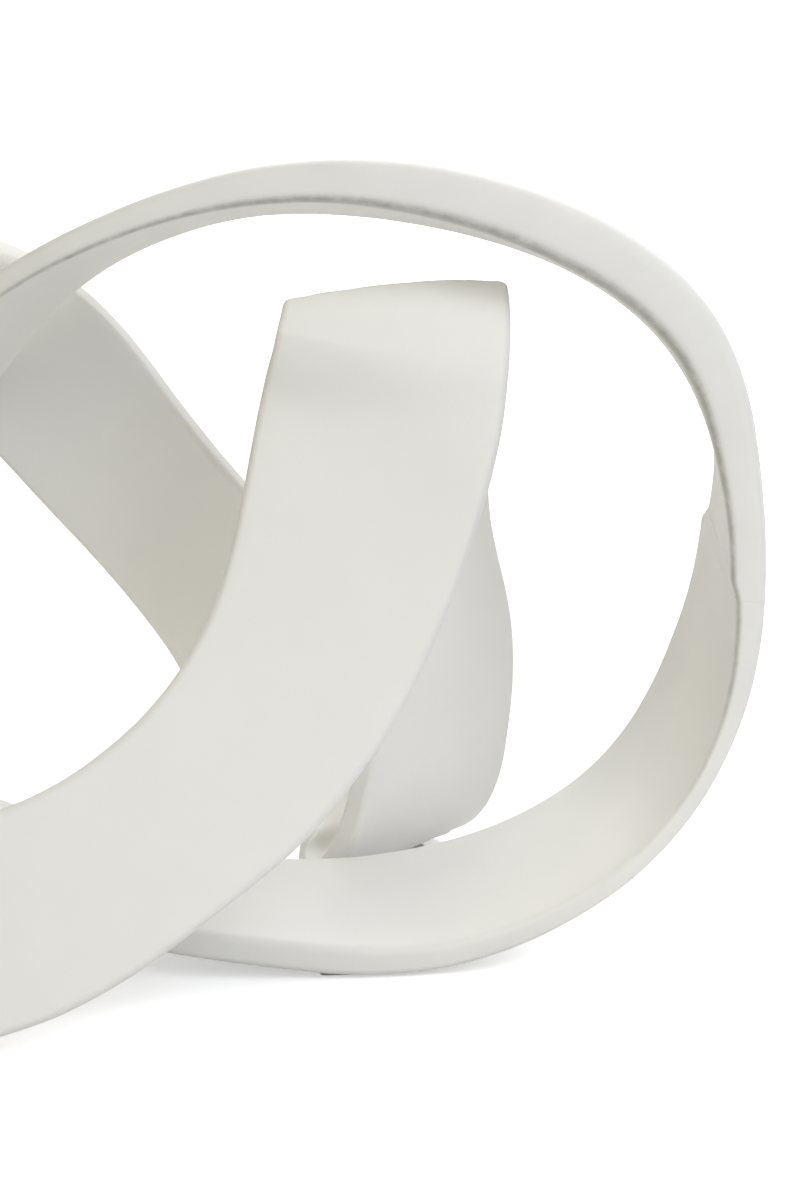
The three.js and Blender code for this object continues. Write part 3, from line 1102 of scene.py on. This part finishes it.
@dataclass
class Band:
    """The lengths of the band.

    Attributes:
        line: The band's line.
        pads: The pads, for their notches.
        dowels: The pins, for their bores.
        edge_share: Rounding of the band's edges as a share of its thickness.
        edge_steps: Steps in that round.
        face_steps: Strips across a face of the band.
        side_steps: Strips across an edge of the band.
        bare_round: Rounding of the bare outline, before the tree puts its points in their true places.
        ring_spacing: Distance between rings on a straight run.
        ring_turn: Angle of bend and twist that also makes a ring.
        seam_gap: Gap at the one joint that shows.
        step_height: How far the face stands proud at the stepped joint.
        step_fade: Length over which the step fades out.
        step_rise: Length over which the step rises at the joint, at the near edge and at the far edge.
        step_start: Share of the step that is there at the joint itself.
        crease_place: Place along the stations of the crease in the fold.
        crease_lean: How much later the crease comes at the far edge than in the middle.
        crease_round: How blunt the crease is at the near edge and at the far edge.
        facet_length: Length of the flat facet over the crease, at the near edge and at the far edge.
        facet_hollow: How much is taken off the round of the fold to make the facet flat, at both edges.
        facet_lift: How far the facet is lifted where the crease meets the near edge.
        crease_lift: Lift along the crease at the near edge and at the far edge, as shares of that.
        ridge_lift: Lift along the facet's top at both edges, as shares of it too.
        ridge_drop: How far the fold falls back behind the facet's top, as a share of it too.
        facet_reach: Length over which the lift dies away below the crease and behind the top.
        ridge_tail: Length over which the drop behind the top dies away.
        run_samples: Places at which the distance along the whole line is measured.
        dusty_places: Places where the painted shade on the inner edge begins, is full, starts to fade and
            ends.
        dust_levels: Share of the painted shade at these places.
        dust_focus: How closely the painted shade keeps to the corner of that edge.
        ripple_depth: Height of the unevenness left by hand sanding.
        ripple_size: Length of one ripple.
        ripple_detail: Finer ripples within a ripple.
        sharp: Angle past which an edge stays sharp.
    """

    line: KnotLine
    pads: Pads
    dowels: Dowels
    edge_share: float = 0.28
    edge_steps: int = 6
    face_steps: int = 14
    side_steps: int = 2
    bare_round: float = 0.2
    ring_spacing: float = 1.3 * MM
    ring_turn: float = math.radians(3)
    seam_gap: float = 0.04 * MM
    step_height: float = 1.3 * MM
    step_fade: float = 26 * MM
    step_rise: Pair = (4.5 * MM, 2.5 * MM)
    step_start: float = 0.15
    crease_place: float = 15.1
    crease_lean: float = 1.6 * MM
    crease_round: Pair = (0.1 * MM, 7 * MM)
    facet_length: Pair = (10.5 * MM, 15 * MM)
    facet_hollow: Pair = (0.6 * MM, 1.4 * MM)
    facet_lift: float = 2.6 * MM
    crease_lift: Pair = (1.0, 0.4)
    ridge_lift: Pair = (0.2, 1.15)
    ridge_drop: float = 1.0
    facet_reach: Pair = (4.5 * MM, 2 * MM)
    ridge_tail: float = 12 * MM
    run_samples: int = 4000
    # Painted shade along the inner edge of the crown and the right loop
    dusty_places: tuple[float, ...] = (28.4, 29.4, 35.6, 37.2)
    dust_levels: tuple[float, ...] = (0.0, 1.0, 1.0, 0.0)
    dust_focus: int = 3
    ripple_depth: float = 0.16 * MM
    ripple_size: float = 16 * MM
    ripple_detail: float = 2.0
    sharp: float = math.radians(50)

    def profile(self) -> bpy.types.Object:
        """Makes the section's outline, a rounded rectangle in unit terms.

        Its points carry how far along the flats they lie, which way they bulge at a corner, and whether they
        belong to a rim or to the inner corner of the near edge.

        Returns:
            The outline as an object.
        """
        rows = []
        for number, (side, face, first) in enumerate(CORNERS):
            angles = quarter(first, self.edge_steps)
            for angle in angles:
                rim = abs(math.cos(angle))
                # The inner corner of the near edge carries the painted shade
                inner = math.sin(2 * angle) ** self.dust_focus if side < 0 and face < 0 else 0.0
                rows.append((side, face, math.cos(angle), math.sin(angle), rim, inner))
            next_side, next_face, _ = CORNERS[(number + 1) % len(CORNERS)]
            on_face = next_side != side
            steps = self.face_steps if on_face else self.side_steps
            rim = 0.0 if on_face else 1.0
            for k in range(1, steps):
                along_side = side + (next_side - side) * k / steps
                along_face = face + (next_face - face) * k / steps
                rows.append((along_side, along_face, math.cos(angles[-1]), math.sin(angles[-1]), rim, 0.0))
        table = np.array(rows)
        points = np.zeros((len(rows), 3))
        points[:, :2] = table[:, 0:2] + table[:, 2:4] * self.bare_round
        edges = [(k, (k + 1) % len(rows)) for k in range(len(rows))]
        names = ("flat_side", "flat_face", "bulge_side", "bulge_face", "rim", "inner_edge")
        return wire_piece("band_section", points.tolist(), edges, dict(zip(names, table.T)))

    def step(self, run: np.ndarray, rise: float) -> np.ndarray:
        """Gives the part of the step's height at distances from the joint.

        Args:
            run: The distances.
            rise: Length over which the step rises.

        Returns:
            The parts, from 0 to 1.
        """
        part = np.clip(run / rise, 0, 1)
        risen = self.step_start + (1 - self.step_start) * part * part * (3 - 2 * part)
        return risen * np.clip(1 - run / self.step_fade, 0, 1) ** 2

    def spine(self, length: Length, following: Length) -> bpy.types.Object:
        """Makes the line of one length, with the band's axes and sizes on its points.

        Args:
            length: The length.
            following: The length that comes after it.

        Returns:
            The line as an object.
        """
        stop = following.start if following.start > length.start else following.start + len(STATIONS)
        places = self.line.rings(length.start, stop, self.ring_spacing, self.ring_turn)
        here = self.line.at(places)
        part = (places - places[0]) / (places[-1] - places[0])
        run = running(steps_of(here.centre))
        near_rise, far_rise = self.step_rise
        leading = self.step(run, far_rise)
        trailing = self.step(run[-1] - run, near_rise)
        centre = here.centre.copy()
        centre[0] += here.along[0] * self.seam_gap / 2 * length.stepped
        centre[-1] -= here.along[-1] * self.seam_gap / 2 * following.stepped
        marks = vars(here) | {
            "centre": centre,
            "past_crease": self.past_crease(places),
            # share of the painted shade along the band
            "dusty": np.interp(places, self.dusty_places, self.dust_levels),
            "slant": length.slant * (1 - part) + following.slant * part,
            "proud_far": leading * self.step_height * length.stepped,
            "proud_near": trailing * self.step_height * following.stepped,
        }
        edges = [(k, k + 1) for k in range(len(places) - 1)]
        return wire_piece("band_spine", centre.tolist(), edges, marks)

    def cutter(self, length: Length, following: Length) -> bpy.types.Object:
        """Makes the bores and notches that are cut out of one length.

        Args:
            length: The length.
            following: The length that comes after it.

        Returns:
            The cutting blocks as one object.
        """
        work = bmesh.new()
        for joint in (length, following):
            for edge in Edge:
                self.dowels.bore(work, joint, edge)
        for pad in PADS:
            if pad.under == length.name:
                self.pads.notch(work, pad)
        bmesh.ops.recalc_face_normals(work, faces=work.faces)
        return mesh_piece("band_cuts", mesh_from(work, "band_cuts"))

    def past_crease(self, places: np.ndarray) -> np.ndarray:
        """Gives the distance along the band from the middle of the crease in the fold.

        Args:
            places: Station numbers with fractions.

        Returns:
            The distances, negative before the crease.
        """
        fine = np.linspace(0, 2 * len(STATIONS), self.run_samples)
        run = running(steps_of(self.line.at(fine).centre))
        return np.interp(places, fine, run) - np.interp(self.crease_place, fine, run)

    def facet(self, desk: NodeDesk, past: Number, far_part: Number, height: Number) -> Number:
        """Adds the flat facet of the fold, over a crease that is sharp at the near edge and soft at the far.

        Args:
            desk: The tree's desk.
            past: Distance along the band past the middle of the crease.
            far_part: 0 at the near edge of the band and 1 at its far edge.
            height: How far the facet is lifted where the crease meets the near edge.

        Returns:
            How far the surface is lifted.
        """
        away = past - desk.ramp(far_part, -self.crease_lean, self.crease_lean)
        blunt = desk.ramp(far_part * far_part, *self.crease_round)
        spread = desk.math("SQRT", away * away + blunt * blunt)
        after = (spread + away) * 0.5
        before = (spread - away) * 0.5
        span = desk.ramp(far_part, *self.facet_length)
        inside = desk.math("MINIMUM", before / span, 1.0)
        beyond = desk.math("MAXIMUM", before - span, 0.0)
        # The hollow is a parabola, and four times its product is 1 in the middle of the facet
        taken = inside * (1.0 - inside) * (desk.ramp(far_part, *self.facet_hollow) * 4.0)
        reach_below, reach_behind = self.facet_reach
        below = desk.math("EXPONENT", after / -reach_below)
        behind = desk.math("EXPONENT", beyond / -reach_behind)
        tail = desk.math("EXPONENT", beyond / -self.ridge_tail)
        crease = desk.ramp(far_part, *self.crease_lift)
        level = (desk.ramp(far_part, *self.ridge_lift) - crease) * inside + crease
        drop = (tail - tail * behind) * self.ridge_drop
        return (level * (below * behind) - drop) * height - taken

    def tree(self) -> bpy.types.NodeTree:
        """Builds the tree that sweeps the section along a spine by the band's own axes, and cuts it.

        Returns:
            The tree.
        """
        sizes = ("Edge Share", "Facet Lift", "Ripple Depth", "Ripple Size")
        given = {"Geometry": "Geometry", "Section": "Object", "Cuts": "Object"}
        given |= dict.fromkeys(sizes, "Float") | {"Finish": "Material"}
        desk = new_group("band_sweep", "GeometryNodeTree", given, {"Geometry": "Geometry"})
        inputs = desk.add("NodeGroupInput").outputs
        edge_share, facet_lift, ripple_depth, ripple_size = (Number(desk, inputs[name]) for name in sizes)
        number, arrow = desk.number, desk.arrow
        radius = number("thickness") * edge_share

        def swelling(flat: str, size: str, bulge: str) -> Number:
            """Returns a point's distance from the middle of the section along one of its axes."""
            half = number(size) * 0.5 - radius
            return number(bulge) * radius + number(flat) * half

        spine = desk.get("GeometryNodeMeshToCurve", {"Mesh": inputs["Geometry"]})
        section = desk.get("GeometryNodeObjectInfo", {"Object": inputs["Section"]}, "Geometry")
        section = desk.get("GeometryNodeMeshToCurve", {"Mesh": section})
        sockets = {"Curve": spine, "Profile Curve": section, "Fill Caps": True}
        swept = desk.get("GeometryNodeCurveToMesh", sockets)

        reach = swelling("flat_side", "width", "bulge_side")
        lift = swelling("flat_face", "thickness", "bulge_face")
        share = reach * 2.0 / number("width")
        far_part = share * 0.5 + 0.5
        step = number("proud_far") * far_part + number("proud_near") * (1.0 - far_part)
        inner = 0.5 - number("flat_face") * 0.5
        lift = number("dome") * (1.0 - share * share) + (lift - step * inner)
        lift = lift + self.facet(desk, number("past_crease"), far_part, facet_lift)
        place = arrow("centre") + arrow("along") * (number("slant") * share)
        place = place + arrow("across") * reach + arrow("square") * lift
        outward = arrow("across") * number("bulge_side") + arrow("square") * number("bulge_face")
        sockets = {"Vector": place, "Scale": 1.0 / ripple_size, "Detail": self.ripple_detail}
        ripple = desk.ramp(desk.get("ShaderNodeTexNoise", sockets), -1.0, 1.0)
        place = place + outward * (ripple * ripple_depth)

        shaped = desk.get("GeometryNodeSetPosition", {"Geometry": swept, "Position": place})
        cuts = desk.get("GeometryNodeObjectInfo", {"Object": inputs["Cuts"]}, "Geometry")
        sockets = {"Mesh 1": shaped, "Mesh 2": cuts}
        cut = desk.get("GeometryNodeMeshBoolean", sockets, operation="DIFFERENCE", solver="EXACT")
        desk.dress(cut, inputs["Finish"])
        return desk.tree

    def build(self, finish: bpy.types.Material) -> list[bpy.types.Object]:
        """Makes the lengths of the band.

        Args:
            finish: Their material.

        Returns:
            The lengths.
        """
        tree = self.tree()
        section = self.profile()
        made = []
        for number, length in enumerate(LENGTHS):
            following = LENGTHS[(number + 1) % len(LENGTHS)]
            cuts = self.cutter(length, following)
            values = {
                "Section": section,
                "Cuts": cuts,
                "Edge Share": self.edge_share,
                "Facet Lift": self.facet_lift,
                "Ripple Depth": self.ripple_depth,
                "Ripple Size": self.ripple_size,
                "Finish": finish,
            }
            piece = run_tree(tree, self.spine(length, following), values, f"cast_{length.name}")
            finish_mesh(piece.data, BAND_MARKS, self.sharp)
            discard(cuts)
            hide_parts(f"band_{length.name}")
            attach(piece, BODY)
            made.append(piece)
        discard(section)
        return made


@dataclass(frozen=True)
class Lamp:
    """One large soft lamp.

    Attributes:
        name: Its name.
        place: Where it hangs.
        size: Side of its square face.
        power: Its power in watts.
        colour: Its colour.
    """

    name: str
    place: Triple
    size: float
    power: float
    colour: Triple


LAMPS: tuple[Lamp, ...] = (
    Lamp("key", (0.4, -0.5, 0.5), 0.35, 2.87, (0.88, 0.91, 1.0)),
    Lamp("fill", (-0.6, -1.05, 1.0), 0.9, 6.9, (1.0, 0.96, 0.8)),
    Lamp("side", (0.8, 0.9, 1.1), 0.9, 10.3, (0.98, 0.98, 1.0)),
    Lamp("back", (0.0, 1.3, 1.1), 0.9, 11.7, (0.98, 1.0, 0.98)),
)


@dataclass
class Studio:
    """Camera, floor and soft light.

    Attributes:
        target: Point that the camera and the lamps look at.
        elevation: Height of the camera above the level, as an angle.
        distance: Distance from the camera to the target.
        lens: Focal length of the camera, in millimetres.
        sensor: Longer side of its sensor, in millimetres.
        sight: Distance past which the camera sees nothing.
        floor_size: Length of the floor to the sides and to the back.
        floor_front: Distance from the sculpture's middle to the front edge of the floor.
        floor_colour: Colour of the floor.
        floor_glow: Light added to the floor where it is looked at, so that it shows white, near and far off.
        glow_reach: Distances from the sculpture's middle where the glow is the near one and the far one.
        sky_tint: Colour of the faint light from above and all round.
        sky_strength: Strength of that light.
    """

    target: Triple = (54 * MM, -1.5 * MM, 74 * MM)
    elevation: float = math.radians(17)
    distance: float = 1.0
    lens: float = 150.0
    sensor: float = 36.0
    sight: float = 50.0
    floor_size: float = 7.0
    floor_front: float = 0.26
    floor_colour: Colour = (0.86, 0.86, 0.86, 1.0)
    floor_glow: Pair = (0.45, 1.0)
    glow_reach: Pair = (0.3, 0.8)
    sky_tint: Colour = (1.0, 0.96, 0.84, 1.0)
    sky_strength: float = 0.213

    def aim(self, item: bpy.types.Object, away: Vector) -> None:
        """Puts a camera or a lamp in its place and turns it to the target.

        Args:
            item: The camera or the lamp.
            away: The way from the target to its place.
        """
        item.location = Vector(self.target) + away
        item.rotation_euler = (-away).to_track_quat("-Z", "Y").to_euler()
        bpy.context.scene.collection.objects.link(item)

    def camera(self) -> None:
        """Sets the camera at the photograph's viewing angle."""
        optics = bpy.data.cameras.new("camera")
        optics.lens = self.lens
        optics.sensor_width = self.sensor
        optics.clip_end = self.sight
        camera = bpy.data.objects.new("camera", optics)
        away = Vector((0.0, -math.cos(self.elevation), math.sin(self.elevation)))
        self.aim(camera, away * self.distance)
        bpy.context.scene.camera = camera

    @staticmethod
    def seen_directly(desk: NodeDesk) -> Number:
        """Tells the rays that show the background from those that light the sculpture.

        Args:
            desk: The desk of the floor or the sky.

        Returns:
            1 for rays from the camera, off gloss or through glass, and otherwise 0.
        """
        rays = desk.add("ShaderNodeLightPath").outputs
        shiny = desk.math("MAXIMUM", rays["Is Glossy Ray"], rays["Is Transmission Ray"])
        return desk.math("MAXIMUM", rays["Is Camera Ray"], shiny)

    def floor(self) -> None:
        """Lays the pale floor, which looks white outside the sculpture's shadow."""
        side, front = self.floor_size, self.floor_front
        corners = [(-side, -front, 0), (side, -front, 0), (side, side, 0), (-side, side, 0)]
        mesh = bpy.data.meshes.new("floor")
        mesh.from_pydata(corners, [], [(0, 1, 2, 3)])
        material = bpy.data.materials.new("pale_floor")
        desk = cleared(material)
        matt = desk.get("ShaderNodeBsdfDiffuse", {"Color": self.floor_colour})
        place = desk.get("ShaderNodeNewGeometry", output="Position")
        away = desk.get("ShaderNodeVectorMath", {0: place}, "Value", operation="LENGTH")
        strength = desk.ramp(away, *self.floor_glow, *self.glow_reach)
        glow = desk.get("ShaderNodeEmission", {"Strength": strength})
        lit = desk.get("ShaderNodeAddShader", {0: matt, 1: glow})
        mixed = desk.get("ShaderNodeMixShader", {0: self.seen_directly(desk), 1: matt, 2: lit})
        desk.add("ShaderNodeOutputMaterial", {"Surface": mixed})
        mesh.materials.append(material)
        mesh_piece("floor", mesh)

    def sky(self) -> None:
        """Adds faint light from above and all round, with a white background."""
        world = bpy.data.worlds.new("soft_sky")
        desk = cleared(world)
        heading = desk.get("ShaderNodeTexCoord", output="Generated")
        above = desk.math("GREATER_THAN", desk.get("ShaderNodeSeparateXYZ", {0: heading}, "Z"), 0.0)
        strength = above * self.sky_strength
        soft = desk.get("ShaderNodeBackground", {"Color": self.sky_tint, "Strength": strength})
        white = desk.get("ShaderNodeBackground", {"Color": WHITE, "Strength": 1.0})
        sky = desk.get("ShaderNodeMixShader", {0: self.seen_directly(desk), 1: soft, 2: white})
        desk.add("ShaderNodeOutputWorld", {"Surface": sky})
        bpy.context.scene.world = world

    def hang(self, lamp: Lamp) -> None:
        """Hangs one lamp.

        Args:
            lamp: The lamp.
        """
        light = bpy.data.lights.new(lamp.name, "AREA")
        light.shape = "SQUARE"
        light.size = lamp.size
        light.energy = lamp.power
        light.color = lamp.colour
        self.aim(bpy.data.objects.new(lamp.name, light), Vector(lamp.place) - Vector(self.target))

    def build(self) -> None:
        """Sets up the studio."""
        bpy.context.scene.view_settings.view_transform = "Standard"
        self.camera()
        self.floor()
        self.sky()
        for lamp in LAMPS:
            self.hang(lamp)


def report_pieces(label: str, made: list[bpy.types.Object]) -> None:
    """Logs the pieces of one sub-assembly.

    Args:
        label: Name of the sub-assembly.
        made: Its pieces.
    """
    for piece in made:
        piece.data.calc_loop_triangles()
        LOG.info("%s: %s, %d triangles", label, piece.name, len(piece.data.loop_triangles))


def main() -> None:
    """Builds the studio and the sculpture."""
    logging.basicConfig(level=logging.INFO, format="%(name)s: %(message)s")
    Studio().build()
    line = KnotLine()
    pads = Pads(line)
    dowels = Dowels(line)
    band = Band(line, pads, dowels)
    report_pieces("band", band.build(BandFinish().build()))
    report_pieces("dowels", dowels.build(SteelFinish().build()))
    report_pieces("pads", pads.build(FeltFinish().build()))


if __name__ == "__main__":
    main()
